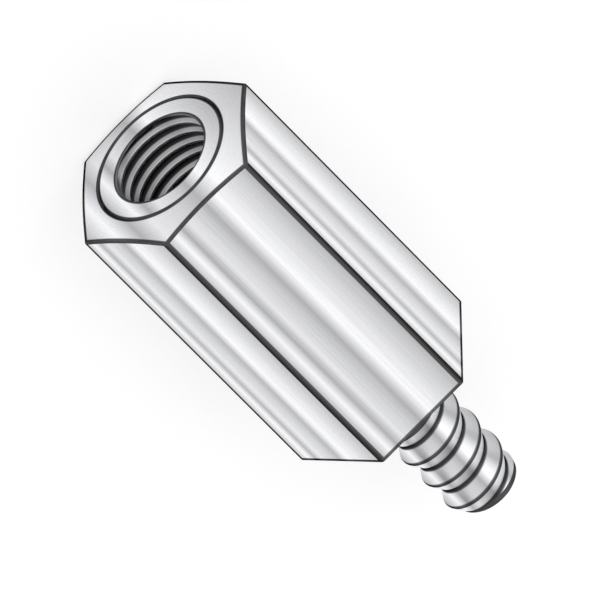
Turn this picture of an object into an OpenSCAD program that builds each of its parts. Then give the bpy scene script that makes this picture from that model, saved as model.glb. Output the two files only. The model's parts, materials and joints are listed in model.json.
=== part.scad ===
// Male-female hex standoff, turned from hexagon bar.
// A blind tapped hole is in one end and a threaded stud is on the other.
// The axis runs along X. The origin is the middle of the shoulder that the stud stands on,
// the stud points to +X, and the standoff lies on one of its flats. All sizes are in millimetres.

/* [Hexagon body] */
// Width across the flats
across_flats = 6.35; // [5.5:0.05:8]
// Length from the bearing face to the shoulder
body_length = 12.7; // [10:0.1:25]
// Height taken off each long corner of the bar
corner_break = 0.03; // [0.02:0.01:0.15]

/* [Bearing face] */
// Outer diameter of the flat ring round the hole
bearing_diameter = 4.82; // [4.6:0.02:5.4]
// Slope of the chamfer that falls from the ring to the flats
crown_angle = 15; // [8:1:30]

/* [Tapped hole] */
// Diameter of the hole at its thread crests
hole_diameter = 3.4; // [2.5:0.05:3.8]
// Width of the broken edge round the hole's mouth
mouth_break = 0.04; // [0.04:0.02:0.2]
// Solid metal left between the drill point and the shoulder
web_thickness = 2.2; // [1.2:0.1:4]
// Included angle of the drill point
drill_point_angle = 118; // [90:1:140]

/* [Threaded stud] */
// Diameter of the plain land at the root of the stud
stud_diameter = 2.75; // [2.3:0.05:3.2]
// Length from the shoulder to the tip
stud_length = 6; // [4:0.1:9]
// Length of the plain land before the thread
land_length = 0.85; // [0.6:0.05:1.5]
// Height of the chamfer at the tip
tip_chamfer = 0.15; // [0.05:0.01:0.2]

/* [Stud thread] */
// Distance from one crest to the next
thread_pitch = 1.25; // [0.8:0.05:1.4]
// Height of the thread from root to crest
thread_depth = 0.26; // [0.18:0.01:0.3]
// Width of the flat on the crest
crest_flat = 0.06; // [0.04:0.01:0.12]
// Width of the flat at the root
root_flat = 0.12; // [0.12:0.01:0.2]
// Angle round the axis at which the crest line leaves the shoulder plane
thread_start = 136; // [0:1:359]

/* [Hidden] */

// Segments of the thread in each turn, and facets of the round forms
turn_steps = 32;
round_facets = 96;
hexagon_sides = 6;

corner_radius = across_flats / 2 / cos(180 / hexagon_sides) - corner_break;
crown_drop = (corner_radius - bearing_diameter / 2) * tan(crown_angle);

hole_radius = hole_diameter / 2;
drill_point_height = hole_radius / tan(drill_point_angle / 2);
hole_depth = body_length - web_thickness - drill_point_height;

// The crests stay a little below the land, so that a mating part centres on the land.
crest_clearance = 0.015;
land_radius = stud_diameter / 2;
crest_radius = land_radius - crest_clearance;
root_radius = crest_radius - thread_depth;
run_out = thread_depth + crest_clearance;

// How far hidden ends are sunk into the metal they join, and cutters stand out of it
sink = 0.5;
// How far each thread flank carries on below the root surface before it turns straight in
flank_sink = 0.015;
// How far the foot of the thread is sunk into the stud's core
foot_sink = 0.15;

thread_from = land_length / 2;
thread_to = stud_length + thread_pitch;
thread_steps = ceil((thread_to - thread_from) / thread_pitch * turn_steps);

// Half width of the thread's foot, where its flanks end below the root surface
flank_run = (thread_pitch - root_flat - crest_flat) / 2;
foot_half = crest_flat / 2 + flank_run * (1 + flank_sink / thread_depth);

// Section of the thread as radius and distance along the axis from the crest line
THREAD_SECTION = [
    [root_radius - foot_sink, -foot_half],
    [root_radius - flank_sink, -foot_half],
    [crest_radius, -crest_flat / 2],
    [crest_radius, crest_flat / 2],
    [root_radius - flank_sink, foot_half],
    [root_radius - foot_sink, foot_half],
];

// Turns what is built along Z to lie along X, toward the stud
module along_x() {
    rotate([0, 90, 0]) children();
}

// Round profile given as points of radius and height, spun about the axis
module turned(profile) {
    rotate_extrude($fn = round_facets) polygon(profile);
}

// Hexagon bar with two flats level, from the bearing face up to the shoulder
module hexagon_bar() {
    translate([0, 0, -body_length])
        rotate([0, 0, 180 / hexagon_sides])
            cylinder(h = body_length, d = across_flats / cos(180 / hexagon_sides), $fn = hexagon_sides);
}

// Round blank that breaks the bar's long corners and crowns its bearing end
module crowned_blank() {
    turned([
        [0, -body_length],
        [bearing_diameter / 2, -body_length],
        [corner_radius, crown_drop - body_length],
        [corner_radius, sink],
        [0, sink],
    ]);
}

// Blind drilled hole with a drill point at its foot and a broken edge at its mouth
module drilled_hole() {
    translate([0, 0, -body_length])
        turned([
            [0, -sink],
            [hole_radius + mouth_break + sink, -sink],
            [hole_radius, mouth_break],
            [hole_radius, hole_depth],
            [0, hole_depth + drill_point_height],
        ]);
}

function ring_point(section_point, step) =
    let (angle = step * 360 / turn_steps)
    [
        section_point.x * cos(angle),
        section_point.x * sin(angle),
        section_point.y + step * thread_pitch / turn_steps,
    ];

// Right-hand ridge of the thread, its section carried round the axis and along it
module thread_ridge() {
    sides = len(THREAD_SECTION);
    last = thread_steps * sides;
    points = [for (step = [0:thread_steps], corner = THREAD_SECTION) ring_point(corner, step)];
    skin = [
        for (step = [0:thread_steps - 1], side = [0:sides - 1])
            let (here = step * sides, next = (side + 1) % sides)
            for (half = [0, 1])
                half == 0
                    ? [here + side, here + next, here + sides + side]
                    : [here + next, here + sides + next, here + sides + side]
    ];
    start_cap = [[for (side = [sides - 1:-1:0]) side]];
    end_cap = [[for (side = [0:sides - 1]) last + side]];
    turn_at_foot = thread_start + thread_from / thread_pitch * 360;
    translate([0, 0, thread_from])
        rotate([0, 0, turn_at_foot])
            polyhedron(points = points, faces = concat(start_cap, skin, end_cap), convexity = 10);
}

// Core of the stud, with the plain land that runs out into the thread
module stud_core() {
    turned([
        [0, -sink],
        [land_radius, -sink],
        [land_radius, land_length],
        [root_radius, land_length + run_out],
        [root_radius, stud_length],
        [0, stud_length],
    ]);
}

// Round space that the finished stud fills, chamfered at the tip
module stud_envelope() {
    clear_radius = land_radius + sink;
    tip_radius = crest_radius - tip_chamfer;
    turned([
        [0, -sink],
        [clear_radius, -sink],
        [clear_radius, stud_length - (clear_radius - tip_radius)],
        [tip_radius, stud_length],
        [0, stud_length],
    ]);
}

module threaded_stud() {
    intersection() {
        union() {
            stud_core();
            thread_ridge();
        }
        stud_envelope();
    }
}

module standoff() {
    color("gainsboro")
        along_x()
            difference() {
                union() {
                    intersection() {
                        hexagon_bar();
                        crowned_blank();
                    }
                    threaded_stud();
                }
                drilled_hole();
            }
}

standoff();
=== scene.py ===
# %% [markdown]
# # A hex standoff, modelled and finished in Blender
#
# A male-female hex standoff is a short piece of drawn hexagon bar. One end is turned, drilled and
# tapped, the other is turned down to a threaded stud. It holds a panel or a circuit board a set
# distance off its base.
#
# The construction comes from the CAD model, loaded here as a fixed frame. This script gives it its
# looks: soft edges, two real threads, five finishes of bare metal, light and a camera.

# %% Load the frame
import json
import math

import bmesh
import bpy
from mathutils import Matrix, Vector


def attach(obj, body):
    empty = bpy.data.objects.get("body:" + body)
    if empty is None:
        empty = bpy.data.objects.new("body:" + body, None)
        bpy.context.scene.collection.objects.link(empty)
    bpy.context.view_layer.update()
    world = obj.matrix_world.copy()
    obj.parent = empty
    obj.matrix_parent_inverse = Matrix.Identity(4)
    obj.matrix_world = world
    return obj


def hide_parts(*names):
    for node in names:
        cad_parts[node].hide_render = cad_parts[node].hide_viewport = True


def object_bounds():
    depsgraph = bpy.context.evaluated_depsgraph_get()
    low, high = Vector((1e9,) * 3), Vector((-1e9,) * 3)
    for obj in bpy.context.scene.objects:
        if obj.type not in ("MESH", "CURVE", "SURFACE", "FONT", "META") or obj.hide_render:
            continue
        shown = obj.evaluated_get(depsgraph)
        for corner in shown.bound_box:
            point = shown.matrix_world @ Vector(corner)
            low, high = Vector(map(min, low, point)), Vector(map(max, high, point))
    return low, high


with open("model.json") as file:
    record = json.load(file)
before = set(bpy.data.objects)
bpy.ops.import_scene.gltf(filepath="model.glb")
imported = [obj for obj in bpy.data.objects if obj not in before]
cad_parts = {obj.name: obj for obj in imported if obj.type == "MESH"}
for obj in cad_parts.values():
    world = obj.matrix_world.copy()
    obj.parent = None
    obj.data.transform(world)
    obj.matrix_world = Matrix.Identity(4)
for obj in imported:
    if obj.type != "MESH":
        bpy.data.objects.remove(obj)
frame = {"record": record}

cad_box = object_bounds()
print("CAD box, mm:", [[round(c * 1000, 3) for c in corner] for corner in cad_box])

# %% [markdown]
# ## Sizes
#
# The interfaces in the record say how big each feature is, so the sizes are read from there and not
# typed again. The axis runs along X: the stud points to +X, and X is zero on the shoulder. What the
# record doesn't hold, such as the radius of an edge, is named here once.

# %% Read the sizes
MM = 0.001
mounts = {mount["name"]: mount for mount in frame["record"]["mounts"]}


def mount_radius(name):
    """Radius of a round interface, in metres."""
    return mounts[name]["dims"]["r_mm"] * MM


bearing_x = mounts["bearing_face"]["pos_m"][0]
shoulder_x = mounts["shoulder"]["pos_m"][0]
mouth_x = mounts["tapped_hole"]["pos_m"][0]
half_flats = mounts["upper_flat"]["pos_m"][2]
tip_x = cad_box[1].x
hole_radius = mount_radius("tapped_hole")
hole_end_x = mouth_x + mounts["tapped_hole"]["dims"]["length_mm"] * MM
land_radius = mount_radius("stud")
land_length = mounts["stud"]["dims"]["length_mm"] * MM
rim_radius = hole_radius + mouth_x - bearing_x
print(f"body {2 * half_flats / MM:.2f} mm wide, {(shoulder_x - bearing_x) / MM:.2f} mm long")
print(f"hole {2 * hole_radius / MM:.2f} mm across, stud {2 * land_radius / MM:.2f} mm across")

# %% Name the sizes of the bar and the stud
ring_radius = 2.41 * MM
ring_groove = 0.055 * MM
crown_slope = math.tan(math.radians(15))
corner_rounding = 0.1 * MM
edge_break = 0.05 * MM

stud_pitch = 1.25 * MM
stud_crest = land_radius - 0.015 * MM
stud_depth = 0.26 * MM
stud_crest_flat = 0.06 * MM
stud_root_flat = 0.12 * MM
stud_crest_x = 3.59 * MM
tip_chamfer = 0.15 * MM
print(f"ring {2 * ring_radius / MM:.2f} mm across, stud thread {stud_pitch / MM:.2f} mm a turn")

# %% Name the sizes of the hole
hole_pitch = 0.5 * MM
hole_depth = 0.25 * MM
hole_crest_flat = 0.09 * MM
hole_root_flat = 0.07 * MM
hole_fade = 0.18 * MM
plain_rim = 0.02 * MM
tap_reach = 8.2 * MM
drill_tip_x = hole_end_x + hole_radius / math.tan(math.radians(118 / 2))
print(f"hole thread {hole_pitch / MM:.2f} mm a turn, drill point at {drill_tip_x / MM:.2f} mm")

# Two points nearer than this are one
hair = 0.001 * MM

# Material numbers on the one mesh
DRAWN, TURNED, TAPPED, STUD, BROKEN_EDGE = range(5)

# %% [markdown]
# ## Camera
#
# The camera looks down on the standoff from the tapped end, rolled so that the bar runs from the
# upper left to the lower right. A camera without perspective would keep the long edges parallel,
# but it shows no depth at all. A very long lens far away keeps them nearly so. The width of the
# view at the standoff sets how far away the camera stands.

# %% Place the camera
camera_height = math.radians(53.1)
camera_roll = math.radians(135.1)
camera_lens = 1500
camera_sensor = 36
view_half_width = 9.70 * MM
aim = Vector((-4.67, -0.03, 0)) * MM

back = Vector((-math.cos(camera_height), 0, math.sin(camera_height)))
distance = view_half_width * camera_lens / (camera_sensor / 2)
camera = bpy.data.objects.new("camera", bpy.data.cameras.new("camera"))
bpy.context.collection.objects.link(camera)
camera.data.lens = camera_lens
camera.data.sensor_width = camera_sensor
camera.data.clip_start = distance / 2
camera.data.clip_end = distance * 2
facing = (-back).to_track_quat("-Z", "Y").to_matrix().to_4x4()
camera.matrix_world = (
    Matrix.Translation(aim + back * distance) @ facing @ Matrix.Rotation(camera_roll, 4, "Z")
)
bpy.context.scene.camera = camera
print(f"camera {distance / MM:.0f} mm away, {math.degrees(camera_height):.1f} degrees up")

# %% [markdown]
# ## Light and floor
#
# Bright metal shows what stands round it, so the room matters as much as the finish. A picture of a
# studio could be wrapped round the scene. A plain white world does as well here, needs no file, and
# leaves the tones of the finishes as they are written. It is a little brighter to the camera and in
# reflections than as a light.

# %% Set up small helpers for node trees
def wire(tree, kind, values=None, **settings):
    """Add a node, set its options, and give each input a number or the output that feeds it."""
    node = tree.nodes.new(kind)
    for name, value in settings.items():
        setattr(node, name, value)
    for name, value in (values or {}).items():
        if isinstance(value, bpy.types.NodeSocket):
            tree.links.new(value, node.inputs[name])
        else:
            node.inputs[name].default_value = value
    return node


def seen_directly(tree):
    """One where a ray comes from the camera, a reflection or clear glass, and zero elsewhere."""
    path = wire(tree, "ShaderNodeLightPath").outputs
    seen = path["Is Camera Ray"]
    for ray in ("Is Glossy Ray", "Is Transmission Ray"):
        seen = wire(tree, "ShaderNodeMath", {0: seen, 1: path[ray]}, operation="MAXIMUM").outputs[0]
    return seen


# %% Make the world
ambient = 0.9
world = bpy.data.worlds.new("room")
world.use_nodes = True
tree = world.node_tree
strength = wire(
    tree,
    "ShaderNodeMapRange",
    {"Value": seen_directly(tree), "To Min": ambient, "To Max": 1.0},
)
tree.links.new(strength.outputs[0], tree.nodes["Background"].inputs["Strength"])
tree.nodes["Background"].inputs["Color"].default_value = (1, 1, 1, 1)
bpy.context.scene.world = world
bpy.context.scene.view_settings.view_transform = "Standard"
print(f"world: white, {ambient:.2f} as a light")

# %% [markdown]
# ### The floor
#
# The standoff lies on a white sheet that keeps its shadow. White paint would turn grey in soft
# light, and more light would burn out the part. So the paint is a mid grey, and a glow lifts it to
# white. The camera sees the glow, and so do reflections and clear things, but it lights nothing,
# so the shadow stays.

# %% Lay the floor
floor_size = 0.5
floor_colour = 0.5
floor_lift = 0.62


def mesh_object(name, bm, *materials):
    """Put a finished bmesh into the scene as an object at the origin."""
    mesh = bpy.data.meshes.new(name)
    bm.to_mesh(mesh)
    bm.free()
    for material in materials:
        mesh.materials.append(material)
    made = bpy.data.objects.new(name, mesh)
    bpy.context.collection.objects.link(made)
    return made


def floor_material():
    material = bpy.data.materials.new("white_floor")
    material.use_nodes = True
    tree = material.node_tree
    tree.nodes.remove(tree.nodes["Principled BSDF"])
    paint = wire(tree, "ShaderNodeBsdfDiffuse", {"Color": (floor_colour,) * 3 + (1,)})
    seen = seen_directly(tree)
    lift = wire(tree, "ShaderNodeMath", {0: seen, 1: floor_lift}, operation="MULTIPLY")
    glow = wire(tree, "ShaderNodeEmission", {"Strength": lift.outputs[0]})
    both = wire(tree, "ShaderNodeAddShader", {0: paint.outputs[0], 1: glow.outputs[0]})
    tree.links.new(both.outputs[0], tree.nodes["Material Output"].inputs["Surface"])
    return material


bm = bmesh.new()
bmesh.ops.create_grid(bm, x_segments=1, y_segments=1, size=floor_size)
bmesh.ops.translate(bm, verts=bm.verts, vec=(0, 0, cad_box[0].z))
floor = mesh_object("floor", bm, floor_material())
print(f"floor at {cad_box[0].z / MM:.3f} mm")

# %% [markdown]
# ### The screens
#
# In an all-white room a bright part has no edges. Studios stand grey cards low round it, and each
# rounded edge then picks up a thin darker line. One line spun round the part makes them as a ring.
# It has a gap before the tapped end, where light has to get into the hole, and the camera and the
# shadows miss it.

# %% Stand the grey screens round the part
screen_radius = 0.3
screen_low = math.tan(math.radians(12)) * screen_radius
screen_high = math.tan(math.radians(34)) * screen_radius
screen_grey = 0.68
screen_gap = math.radians(70)


def screen_material():
    material = bpy.data.materials.new("grey_screen")
    material.use_nodes = True
    shader = material.node_tree.nodes["Principled BSDF"]
    shader.inputs["Base Color"].default_value = (screen_grey,) * 3 + (1,)
    shader.inputs["Roughness"].default_value = 0.9
    return material


bm = bmesh.new()
ends = [bm.verts.new((-screen_radius, 0, height)) for height in (screen_low, screen_high)]
upright = bm.edges.new(ends)
bmesh.ops.rotate(bm, verts=ends, cent=(0, 0, 0), matrix=Matrix.Rotation(screen_gap / 2, 3, "Z"))
bmesh.ops.spin(
    bm, geom=ends + [upright], cent=(0, 0, 0), axis=(0, 0, 1), angle=math.tau - screen_gap, steps=64
)
screens = mesh_object("screens", bm, screen_material())
screens.visible_camera = False
screens.visible_shadow = False
print(f"screens {screen_radius / MM:.0f} mm away, grey {screen_grey:.2f}")

# %% [markdown]
# ### The lamp
#
# One large soft box gives the shadow its side. A flat that mirrors it shows its light on top of the
# white world behind it, and would soon be blank white, so the box is kept dim.

# %% Hang the soft box
box_direction = Vector((-0.25, 0.45, 0.86)).normalized()
box_distance = 0.35
box_size = 0.22
box_brightness = 0.2

lamp = bpy.data.lights.new("key_box", "AREA")
lamp.shape = "SQUARE"
lamp.size = box_size
# Blender spreads a square lamp's watts so that a mirror shows a quarter of them over its area
lamp.energy = box_brightness * 4 * box_size**2
key_box = bpy.data.objects.new("key_box", lamp)
key_box.matrix_world = (
    Matrix.Translation(box_direction * box_distance)
    @ box_direction.to_track_quat("Z", "Y").to_matrix().to_4x4()
)
bpy.context.collection.objects.link(key_box)
print(f"soft box of {lamp.energy:.4f} W, {box_distance / MM:.0f} mm away")

# %% [markdown]
# ## Modelling the threads
#
# A thread is one groove wound round a cylinder. Its section, one pitch long, is drawn as a short
# line from the middle of one crest to the middle of the next. Spin turns that line about the axis
# and moves it along as it goes, so each turn ends where the next begins, and merging the doubles
# makes one skin of them. The Screw modifier does the same, but the ends of the thread are still to
# be cut and joined to the body, which is easier on a mesh.

# %% Write the thread helpers
def thread_skin(pitch, crest, root, crest_flat, root_flat, start_x, end_x, steps, softness):
    """Wind one thread from before start_x to past end_x, with a crest on +Y at start_x."""
    bm = bmesh.new()
    flank = (pitch - crest_flat - root_flat) / 2
    section = [
        (0, crest),
        (crest_flat / 2, crest),
        (crest_flat / 2 + flank, root),
        (pitch - crest_flat / 2 - flank, root),
        (pitch - crest_flat / 2, crest),
        (pitch, crest),
    ]
    points = [bm.verts.new((start_x - pitch + x, radius, 0)) for x, radius in section]
    lines = [bm.edges.new(pair) for pair in zip(points, points[1:])]
    turns = math.ceil((end_x - start_x) / pitch) + 1
    bmesh.ops.spin(
        bm,
        geom=points + lines,
        cent=(0, 0, 0),
        axis=(1, 0, 0),
        dvec=(pitch / steps, 0, 0),
        angle=turns * math.tau,
        steps=turns * steps,
    )
    bmesh.ops.remove_doubles(bm, verts=bm.verts, dist=hair)
    inner = [e for e in bm.edges if len(e.link_faces) == 2]
    bends = [e for e in inner if e.calc_face_angle() > math.radians(15)]
    bmesh.ops.bevel(
        bm, geom=bends, offset=softness, segments=2, profile=0.5, affect="EDGES", material=-1
    )
    return bm


def cut_at(bm, x, keep_right=None):
    """Score the mesh square to the axis at x, and drop one side if asked."""
    bmesh.ops.bisect_plane(
        bm,
        geom=bm.verts[:] + bm.edges[:] + bm.faces[:],
        dist=hair / 100,
        plane_co=(x, 0, 0),
        plane_no=(1, 0, 0),
        clear_inner=keep_right is True,
        clear_outer=keep_right is False,
    )


def radius_of(vert):
    return math.hypot(vert.co.y, vert.co.z)


def set_radius(vert, radius):
    now = radius_of(vert)
    vert.co.y *= radius / now
    vert.co.z *= radius / now


# %% Write the helpers for open ends
skirt = 0.05 * MM


def open_loop(bm, x):
    """Edges of the open end that lies square to the axis at x, in the same order every run."""
    found = [e for e in bm.edges if e.is_boundary and all(abs(v.co.x - x) < hair for v in e.verts)]
    return sorted(found, key=lambda e: tuple(e.verts[0].co + e.verts[1].co))


def carry_on(bm, edges, x, radius=None):
    """Extrude an open end to x, with all its points at a new radius if one is given."""
    grown = bmesh.ops.extrude_edge_only(bm, edges=edges)["geom"]
    for vert in grown:
        if isinstance(vert, bmesh.types.BMVert):
            vert.co.x = x
            if radius is not None:
                set_radius(vert, radius)
    return [e for e in grown if isinstance(e, bmesh.types.BMEdge) and e.is_boundary]


# %% [markdown]
# ### The tapped hole
#
# The hole is drilled blind, so it ends in the cone of the drill's point. The tap stops a little
# short of that, and its groove starts just inside the rim, which stays round. The skin of the
# thread is made first, and both its open ends are then carried on: inwards to the drill point, and
# outwards over the broken edge of the mouth onto the bearing face.

# %% Tap the hole
def fade_groove(bm, crest, start_x, length):
    """Let the groove grow from nothing at start_x to its full depth over a length."""
    for vert in bm.verts:
        along = min(max((vert.co.x - start_x) / length, 0), 1)
        depth = radius_of(vert) - crest
        set_radius(vert, crest + depth * along * along * (3 - 2 * along))


def tapped_hole():
    tap_end_x = mouth_x + tap_reach
    bm = thread_skin(
        hole_pitch,
        hole_radius,
        hole_radius + hole_depth,
        hole_crest_flat,
        hole_root_flat,
        mouth_x,
        tap_end_x,
        steps=96,
        softness=0.015 * MM,
    )
    fade_groove(bm, hole_radius, mouth_x + plain_rim, hole_fade)
    for vert in bm.verts:
        left = min(max((tap_end_x - vert.co.x) / hole_fade, 0), 1)
        set_radius(vert, hole_radius + (radius_of(vert) - hole_radius) * left)
    cut_at(bm, mouth_x, keep_right=True)
    cut_at(bm, tap_end_x, keep_right=False)
    inner = carry_on(bm, open_loop(bm, tap_end_x), hole_end_x, hole_radius)
    point = carry_on(bm, inner, drill_tip_x, 10 * hair)
    tip = list({vert for edge in point for vert in edge.verts})
    bmesh.ops.pointmerge(bm, verts=tip, merge_co=(drill_tip_x, 0, 0))
    rim = carry_on(bm, open_loop(bm, mouth_x), bearing_x, rim_radius)
    carry_on(bm, rim, bearing_x, rim_radius + skirt)
    print(f"hole: {len(bm.faces)} faces, tapped to {tap_end_x / MM:.2f} mm")
    return bm


# %% [markdown]
# ### The stud
#
# The stud has a plain land at its root, which centres the panel, and a coarse thread beyond. The
# groove runs out of the land up a short cone, and the tip has a small chamfer. Both are limits on
# the radius: no point may sink below the cone or stand above the chamfer.

# %% Cut the stud
def threaded_stud():
    run_out = stud_depth + land_radius - stud_crest
    bm = thread_skin(
        stud_pitch,
        stud_crest,
        stud_crest - stud_depth,
        stud_crest_flat,
        stud_root_flat,
        stud_crest_x - 3 * stud_pitch,
        tip_x,
        steps=128,
        softness=0.025 * MM,
    )
    cut_at(bm, land_length, keep_right=True)
    cut_at(bm, land_length + run_out)
    cut_at(bm, tip_x - tip_chamfer)
    cut_at(bm, tip_x, keep_right=False)
    for vert in bm.verts:
        cone = land_radius - (vert.co.x - land_length)
        chamfer = stud_crest + (tip_x - tip_chamfer - vert.co.x)
        set_radius(vert, min(max(radius_of(vert), cone), chamfer))
    foot = carry_on(bm, open_loop(bm, land_length), shoulder_x, land_radius)
    carry_on(bm, foot, shoulder_x, land_radius + skirt)
    bmesh.ops.edgeloop_fill(bm, edges=open_loop(bm, tip_x))
    print(f"stud: {len(bm.faces)} faces, {(tip_x - shoulder_x) / MM:.2f} mm long")
    return bm


# %% [markdown]
# ### The hexagon bar
#
# The bar starts as a six-sided outline with its corners rounded, and its sides divided so that
# their ends can follow a curve. At the tapped end the lathe cuts a flat cone, the crown, and where
# a cone meets a flat the edge is a shallow arch. Cutting a bar with a cone would make the arches as
# well. Here the points of that end are only set back by how far they lie outside the bearing ring,
# and the arches follow. A fine groove, as deep as it is half wide, parts the crown from the ring.

# %% Shape the bar
def hexagon_outline(bm):
    along_axis = Matrix.Rotation(math.radians(90), 4, "Y")
    corner = half_flats / math.cos(math.radians(30))
    bmesh.ops.create_circle(bm, cap_ends=True, segments=6, radius=corner, matrix=along_axis)
    bmesh.ops.bevel(
        bm,
        geom=bm.verts[:],
        offset=corner_rounding * math.tan(math.radians(30)),
        segments=6,
        profile=0.5,
        affect="VERTICES",
        material=-1,
    )
    bmesh.ops.delete(bm, geom=bm.faces[:], context="FACES_ONLY")
    sides = [e for e in bm.edges if e.calc_length() > corner / 2]
    bmesh.ops.subdivide_edges(bm, edges=sides, cuts=23)
    return bm.edges[:]


def hexagon_body():
    bm = bmesh.new()
    outline = hexagon_outline(bm)
    shoulder = carry_on(bm, outline, shoulder_x)
    for vert in {vert for edge in outline for vert in edge.verts}:
        vert.co.x = bearing_x + (radius_of(vert) - ring_radius - ring_groove) * crown_slope
    lip = carry_on(bm, outline, bearing_x, ring_radius + ring_groove)
    root = carry_on(bm, lip, bearing_x + ring_groove, ring_radius)
    ring = carry_on(bm, root, bearing_x, ring_radius - ring_groove)
    carry_on(bm, ring, bearing_x, ring_radius - 3 * skirt)
    inner_shoulder = bmesh.ops.extrude_edge_only(bm, edges=shoulder)["geom"]
    for vert in inner_shoulder:
        if isinstance(vert, bmesh.types.BMVert):
            set_radius(vert, radius_of(vert) - 3 * skirt)
    print(f"bar: {len(bm.faces)} faces, corners rounded by {corner_rounding / MM:.2f} mm")
    return bm


# %% [markdown]
# ### One closed skin
#
# The bar, the hole and the stud are three open skins, and their borders lie in the same two planes,
# the bearing face and the shoulder. A Boolean could join three solids, but on threads it leaves
# long thin faces. Here the flat rings between the borders are filled with triangles, and counting
# the open edges shows that the skin is closed. Each skin was carried a little way into its plane
# first, so that these flat rings are shaded flat up to the edge.

# %% Join the three skins into one closed solid
def add_skin(bm, other):
    mesh = bpy.data.meshes.new("skin")
    other.to_mesh(mesh)
    other.free()
    bm.from_mesh(mesh)
    bpy.data.meshes.remove(mesh)


bm = hexagon_body()
add_skin(bm, tapped_hole())
add_skin(bm, threaded_stud())
for x in (bearing_x, shoulder_x):
    bmesh.ops.triangle_fill(bm, use_beauty=True, edges=open_loop(bm, x))
bmesh.ops.recalc_face_normals(bm, faces=bm.faces)
open_edges = [e for e in bm.edges if not e.is_manifold]
print(f"open edges {len(open_edges)}, faces {len(bm.faces)}, {bm.calc_volume() / MM**3:.1f} mm3")

# %% [markdown]
# ### The turned edges
#
# A lathe leaves edges that cut the hand, so they are broken. A Bevel modifier would round every
# sharp edge, those of the threads too. The bevel here gets only the border of the crown and that of
# the shoulder, and its new faces take the finish of a broken edge.

# %% Soften the turned edges
def turned_edges(bm):
    """Edges of the crown's outer border and of the shoulder's outline."""
    chosen = []
    for edge in bm.edges:
        middle = (edge.verts[0].co + edge.verts[1].co) / 2
        radius = math.hypot(middle.y, middle.z)
        bent = len(edge.link_faces) == 2 and edge.calc_face_angle() > math.radians(12)
        along = abs(edge.verts[0].co.x - edge.verts[1].co.x) > 0.5 * edge.calc_length()
        if bent and radius > ring_radius + 2 * edge_break and not along:
            chosen.append(edge)
    return chosen


bmesh.ops.bevel(
    bm,
    geom=turned_edges(bm),
    offset=edge_break,
    segments=3,
    profile=0.5,
    affect="EDGES",
    material=BROKEN_EDGE,
)
print("edges broken:", sum(face.material_index == BROKEN_EDGE for face in bm.faces), "faces")

# %% [markdown]
# ## Finishes
#
# Every surface here is bare bright metal, and only the way it was cut tells one from another. Each
# finish is one metallic shader. Its tone, roughness and bump could come from images, but then each
# surface would need its own map. Patterns on the object's own coordinates need none, and since they
# are in millimetres, the scale of a pattern is the scale of the real mark.

# %% Write the helpers for patterns
def math_node(tree, operation, *values):
    """A Math node's output; each value is a number or another output."""
    return wire(tree, "ShaderNodeMath", dict(enumerate(values)), operation=operation).outputs[0]


def product(tree, first, *others):
    for other in others:
        first = math_node(tree, "MULTIPLY", first, other)
    return first


def spread(tree, value, low, high, start=0.0, end=1.0):
    """Map a value that runs from start to end onto low to high, without overshoot."""
    values = {"Value": value, "From Min": start, "From Max": end, "To Min": low, "To Max": high}
    return wire(tree, "ShaderNodeMapRange", values).outputs[0]


def change_at(tree, value, edge, softness, before, after):
    """One tone up to an edge and another past it, with a soft change between."""
    return spread(tree, value, before, after, edge - softness, edge + softness)


# %% Write the helpers for places, in millimetres
def place_in_mm(tree):
    """The point on the object."""
    place = wire(tree, "ShaderNodeTexCoord").outputs["Object"]
    values = {"Vector": place, "Scale": 1 / MM}
    return wire(tree, "ShaderNodeVectorMath", values, operation="SCALE").outputs["Vector"]


def coordinate(tree, place, axis):
    return wire(tree, "ShaderNodeSeparateXYZ", {0: place}).outputs[axis]


def stretched(tree, place, factors):
    values = {0: place, 1: factors}
    return wire(tree, "ShaderNodeVectorMath", values, operation="MULTIPLY").outputs["Vector"]


def radius_at(tree, place):
    """How far the point lies from the axis of the bar."""
    flat = stretched(tree, place, (0, 1, 1))
    return wire(tree, "ShaderNodeVectorMath", {0: flat}, operation="LENGTH").outputs["Value"]


# %% Write the helpers for noise and runs of tones
def noise(tree, vector, detail=3.0, roughness=0.6):
    values = {"Vector": vector, "Scale": 1.0, "Detail": detail, "Roughness": roughness}
    return wire(tree, "ShaderNodeTexNoise", values).outputs["Fac"]


def rings_of(fineness):
    """A pattern of fine rings round the axis."""

    def pattern(tree, place):
        along = math_node(tree, "MULTIPLY", radius_at(tree, place), fineness)
        values = {"W": along, "Scale": 1.0, "Detail": 3.0}
        return wire(tree, "ShaderNodeTexNoise", values, noise_dimensions="1D").outputs["Fac"]

    return pattern


def varied(tree, pattern, low, high):
    """Map a noise, which keeps mostly to 0.3 to 0.7, onto low to high."""
    return spread(tree, pattern, low, high, 0.3, 0.7)


def bands(tree, value, tones):
    """A run of tones, given as (place from 0 to 1, tone)."""
    ramp = wire(tree, "ShaderNodeValToRGB", {"Fac": value})
    marks = ramp.color_ramp.elements
    while len(marks) < len(tones):
        marks.new(0.5)
    for mark, (where, tone) in zip(marks, tones):
        mark.position = where
        mark.color = (tone, tone, tone, 1)
    return ramp.outputs["Color"]


# %% [markdown]
# ### The painted reflections
#
# Bright metal shows soft bands of light and dark, the reflections of what stands round it. One run
# of tones paints them into the metal's tone. It is laid across each flat, each end face and the
# stud, each time from one side to the other, so that a narrow surface has the same bands as a wide
# one.

# %% Choose the tones of the painted reflections
tint = (0.975, 0.978, 1.0)
# Painted reflections: bands of light and dark tone laid across each surface
painted_reflections = [
    (-1.00, 0.39),
    (-0.76, 0.98),
    (-0.60, 0.45),
    (-0.44, 0.82),
    (-0.18, 0.65),
    (0.00, 0.46),
    (0.22, 1.00),
    (0.42, 0.86),
    (1.00, 0.47),
]


def painted_reflections_across(tree, place):
    """The painted reflection bands, laid from -1 on one side of a surface to 1 on the other."""
    tones = [((where + 1) / 2, tone) for where, tone in painted_reflections]
    return bands(tree, spread(tree, place, 0, 1, -1, 1), tones)


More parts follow.
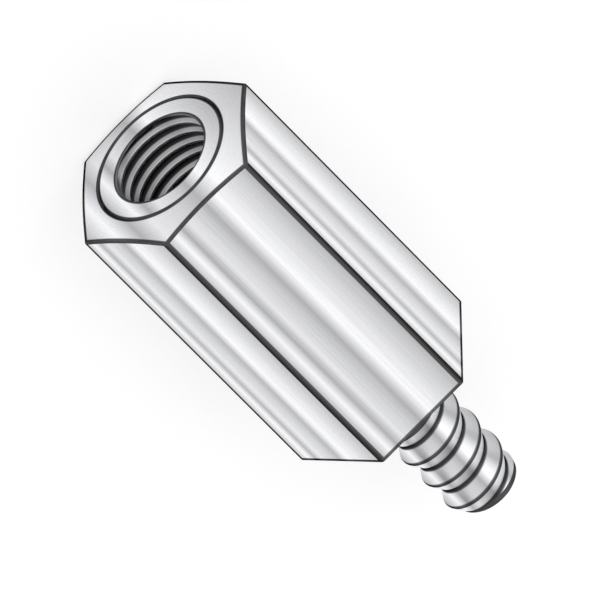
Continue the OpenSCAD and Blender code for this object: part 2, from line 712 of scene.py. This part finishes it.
tones = [tone for where, tone in painted_reflections]
print(f"sheen: {len(tones)} tones, from {min(tones):.2f} to {max(tones):.2f}")


# %% Write the recipe for a metal
def metal(name, tone_of, roughness_of, height_of, bump_depth):
    """A bare metal whose tone, roughness and height are each worked out by a function.

    Clean metal turns bright at a grazing angle, and its lines of painted shade stay dark.
    """
    material = bpy.data.materials.new(name)
    material.use_nodes = True
    tree = material.node_tree
    shader = tree.nodes["Principled BSDF"]
    place = place_in_mm(tree)
    tone = tone_of(tree, place)
    colour = wire(tree, "ShaderNodeVectorMath", {"Vector": tint, "Scale": tone}, operation="SCALE")
    relief = {"Height": height_of(tree, place), "Distance": bump_depth, "Strength": 1.0}
    bump = wire(tree, "ShaderNodeBump", relief)
    shader.inputs["Metallic"].default_value = 1
    tree.links.new(colour.outputs["Vector"], shader.inputs["Base Color"])
    grazing = spread(tree, tone, 0.05, 1, 0.1, 0.35)
    tree.links.new(grazing, shader.inputs["Specular Tint"])
    tree.links.new(roughness_of(tree, place), shader.inputs["Roughness"])
    tree.links.new(bump.outputs["Normal"], shader.inputs["Normal"])
    print("finish:", name)
    return material


# %% [markdown]
# ### The drawn flats
#
# The bar was pulled through a die, which leaves fine streaks along it. Its long corners and the
# shoulder end are toned darker in thin lines, painted shade along the edges. Brush strokes in an
# image would do for the streaks, but noise that is stretched along X gives streaks of any length
# without a seam. The angle round the axis says how far a point lies across its flat, so one finish
# serves all six.

# %% Draw the flats
# Painted shade: thin dark lines along the long corners and at the shoulder
corner_line = 0.925
corner_painted_shade = 0.15
end_line = 0.16


def angle_in_flat(tree, place):
    """Angle round the axis from the middle of the nearest flat: six flats in one turn."""
    turn = math_node(
        tree, "ARCTAN2", coordinate(tree, place, "Z"), coordinate(tree, place, "Y")
    )
    sixths = math_node(tree, "DIVIDE", turn, math.tau / 6)
    within = math_node(tree, "FRACT", math_node(tree, "ADD", sixths, 6))
    return spread(tree, within, math.tau / 12, -math.tau / 12)


def across_flat(tree, place):
    """Where the point is across its flat, from -1 to 1."""
    slant = math_node(tree, "TANGENT", angle_in_flat(tree, place))
    return math_node(tree, "DIVIDE", slant, math.tan(math.tau / 12))


def draw_lines(tree, place):
    return noise(tree, stretched(tree, place, (0.12, 11, 11)), detail=4)


def flat_tone(tree, place):
    """The painted reflections and the streaks, with thin lines of painted shade on the long corners
    and at the shoulder.
    """
    side = across_flat(tree, place)
    outward = math_node(tree, "ABSOLUTE", side)
    along = coordinate(tree, place, "X")
    corner = change_at(tree, outward, corner_line, 0.01, 1, corner_painted_shade)
    end = change_at(tree, along, shoulder_x / MM - end_line, 0.02, 1, corner_painted_shade)
    painted_edge_shade = math_node(tree, "MINIMUM", corner, end)
    streaks = varied(tree, draw_lines(tree, place), 0.93, 1.07)
    return product(tree, painted_reflections_across(tree, side), painted_edge_shade, streaks)


drawn = metal(
    "drawn_flats",
    flat_tone,
    lambda tree, place: varied(tree, draw_lines(tree, place), 0.18, 0.32),
    draw_lines,
    0.001 * MM,
)

# %% [markdown]
# ### The turned ends
#
# The tool leaves fine rings, so here the noise runs with the distance from the axis. Thin lines of
# painted shade follow the edges: at the flats, beside the ring's groove and round the hole's mouth.
# They could be narrow faces with a finish of their own, but a painted tone in the finish costs
# none.

# %% Draw the painted shade lines of the ends
# Painted shade: thin dark lines along the edges of the turned ends
rim_painted_shade = 0.11
rim_line = 0.085
groove_line = 0.085
mouth_line = 0.06


def at_tapped_end(tree, place):
    """One on the faces of the tapped end and zero on those of the stud's end."""
    middle = (bearing_x + shoulder_x) / 2 / MM
    return math_node(tree, "LESS_THAN", coordinate(tree, place, "X"), middle)


def outer_rim_shade(tree, place):
    """A thin line of painted shade where the turned face ends at the flats."""
    lean = math_node(tree, "COSINE", angle_in_flat(tree, place))
    outward = math_node(tree, "MULTIPLY", radius_at(tree, place), lean)
    end = (half_flats - edge_break) / MM
    return change_at(tree, outward, end - rim_line, 0.015, 1, rim_painted_shade)


def inner_rim_shades(tree, place):
    """Thin lines of painted shade beside the ring's groove and round the hole's mouth."""
    radius = radius_at(tree, place)
    off_groove = math_node(tree, "ABSOLUTE", math_node(tree, "SUBTRACT", radius, ring_radius / MM))
    groove = change_at(tree, off_groove, groove_line, 0.01, rim_painted_shade, 1)
    mouth = change_at(tree, radius, rim_radius / MM + mouth_line, 0.01, rim_painted_shade, 1)
    elsewhere = math_node(tree, "SUBTRACT", 1, at_tapped_end(tree, place))
    return math_node(tree, "MAXIMUM", product(tree, groove, mouth), elsewhere)


# %% Face the ends
cut_rings = rings_of(16)


def face_half_width(tree, place):
    """The ring, the stud and the wide faces each have painted reflection bands of their own width.
    """
    corner = half_flats / math.cos(math.tau / 12) / MM
    inside = math_node(tree, "LESS_THAN", radius_at(tree, place), ring_radius / MM)
    on_ring = product(tree, inside, at_tapped_end(tree, place))
    past_shoulder = (shoulder_x + hair) / MM
    on_stud = math_node(tree, "GREATER_THAN", coordinate(tree, place, "X"), past_shoulder)
    width = math_node(tree, "MULTIPLY_ADD", on_ring, ring_radius / MM - corner, corner)
    return math_node(tree, "MULTIPLY_ADD", on_stud, land_radius / MM - corner, width)


def face_tone(tree, place):
    sideways = coordinate(tree, place, "Y")
    across = math_node(tree, "DIVIDE", sideways, face_half_width(tree, place))
    rings = varied(tree, cut_rings(tree, place), 0.96, 1.04)
    rim_shades = product(tree, outer_rim_shade(tree, place), inner_rim_shades(tree, place))
    return product(tree, painted_reflections_across(tree, across), rings, rim_shades)


turned = metal(
    "turned_end",
    face_tone,
    lambda tree, place: varied(tree, cut_rings(tree, place), 0.2, 0.32),
    cut_rings,
    0.0006 * MM,
)

# %% [markdown]
# ### The threads
#
# The stud's thread is bright on its flanks, with painted shade as thin dark lines on its crests and
# in its roots. The hole's crests carry a painted highlight, and its roots painted shade, nearly
# black.
# The faces could be sorted one by one, but the distance from the axis already tells crest from root
# at every point, so a run of tones over it follows the thread by itself.

# %% Finish the threads
# Painted shade at the stud's crests and roots; painted highlight on the hole's crests, painted
# shade in its roots
stud_painted_shade_lines = [(0.0, 0.12), (0.06, 0.15), (0.13, 1.0), (0.87, 1.0), (0.95, 0.18), (1.0, 0.08)]
hole_painted_highlight_and_shade = [(0.0, 0.62), (0.06, 0.6), (0.14, 0.42), (0.44, 0.42), (0.56, 0.05), (1.0, 0.02)]
tool_lines = rings_of(60)


def groove_tone(tree, place, crest, root, tones):
    """Tones from the crest of a thread, at 0, to its root, at 1."""
    depth = spread(tree, radius_at(tree, place), 0, 1, crest / MM, root / MM)
    return bands(tree, depth, tones)


def stud_tone(tree, place):
    across = math_node(tree, "DIVIDE", coordinate(tree, place, "Y"), stud_crest / MM)
    cut = groove_tone(tree, place, stud_crest, stud_crest - stud_depth, stud_painted_shade_lines)
    return product(tree, painted_reflections_across(tree, across), cut)


def hole_tone(tree, place):
    """Painted shade darkens the hole just inside its mouth, as it does along the edges."""
    along = coordinate(tree, place, "X")
    mouth = change_at(tree, along, mouth_x / MM + 0.07, 0.03, 0.3, 1)
    cut = groove_tone(tree, place, hole_radius, hole_radius + hole_depth, hole_painted_highlight_and_shade)
    return product(tree, cut, mouth)


tapped = metal(
    "tapped_hole",
    hole_tone,
    lambda tree, place: varied(tree, tool_lines(tree, place), 0.3, 0.4),
    tool_lines,
    0.0005 * MM,
)
cut_stud = metal(
    "cut_stud",
    stud_tone,
    lambda tree, place: varied(tree, tool_lines(tree, place), 0.34, 0.44),
    tool_lines,
    0.0002 * MM,
)

# %% [markdown]
# ### The broken edges
#
# A broken edge was filed or tumbled, not cut, so it is rough. Its tone is painted dark, painted
# shade that makes each edge read as a dark line beside the bright faces, and the ring's groove and
# the tip's chamfer take it too. A sharp edge with a painted line would not catch the light. The
# bevels are real faces, and a soft noise wears them unevenly.

# %% Finish the broken edges
def worn(tree, place):
    return noise(tree, stretched(tree, place, (3, 3, 3)))


# Painted shade: the broken edges, the ring's groove and the tip's chamfer are toned dark
broken = metal(
    "broken_edges",
    lambda tree, place: varied(tree, worn(tree, place), 0.06, 0.1),
    lambda tree, place: varied(tree, worn(tree, place), 0.4, 0.5),
    worn,
    0.002 * MM,
)

# %% [markdown]
# ## The finished piece
#
# The whole standoff is one mesh, so each face is given its finish by where it lies. Shading is
# smooth up to the sharp edges, and the Weighted Normal modifier keeps the wide flats flat beside
# their small bevels. The piece then takes the place of the CAD model's solid.

# %% Sort the faces
def finish_of(face):
    """Number of the finish that a face has, by where it lies."""
    middle = face.calc_center_median()
    radius = math.hypot(middle.y, middle.z)
    chamfer_x = tip_x - tip_chamfer
    # The tip's chamfer takes the painted shade of the broken edges
    if face.material_index == BROKEN_EDGE or chamfer_x < middle.x < tip_x - hair:
        return BROKEN_EDGE
    if land_length < middle.x < chamfer_x:
        return STUD
    if middle.x > shoulder_x - hair:
        return TURNED
    if abs(face.normal.x) < 0.99 and radius < hole_radius + hole_depth:
        return TAPPED
    if abs(face.normal.x) < 0.5 and radius > half_flats - 2 * edge_break:
        return DRAWN
    # The ring's groove takes the painted shade of the broken edges
    if abs(radius - ring_radius) < ring_groove and middle.x > bearing_x + hair:
        return BROKEN_EDGE
    return TURNED


for face in bm.faces:
    face.material_index = finish_of(face)
    face.smooth = True
for edge in bm.edges:
    if len(edge.link_faces) == 2 and edge.calc_face_angle() > math.radians(35):
        edge.smooth = False
print("sharp edges:", sum(not edge.smooth for edge in bm.edges))

# %% Hand over the piece
standoff = mesh_object("standoff_metal", bm, drawn, turned, tapped, cut_stud, broken)
weighted = standoff.modifiers.new("even_normals", "WEIGHTED_NORMAL")
weighted.keep_sharp = True
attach(standoff, "root")
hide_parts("standoff")
print("triangles:", sum(len(p.vertices) - 2 for p in standoff.data.polygons))
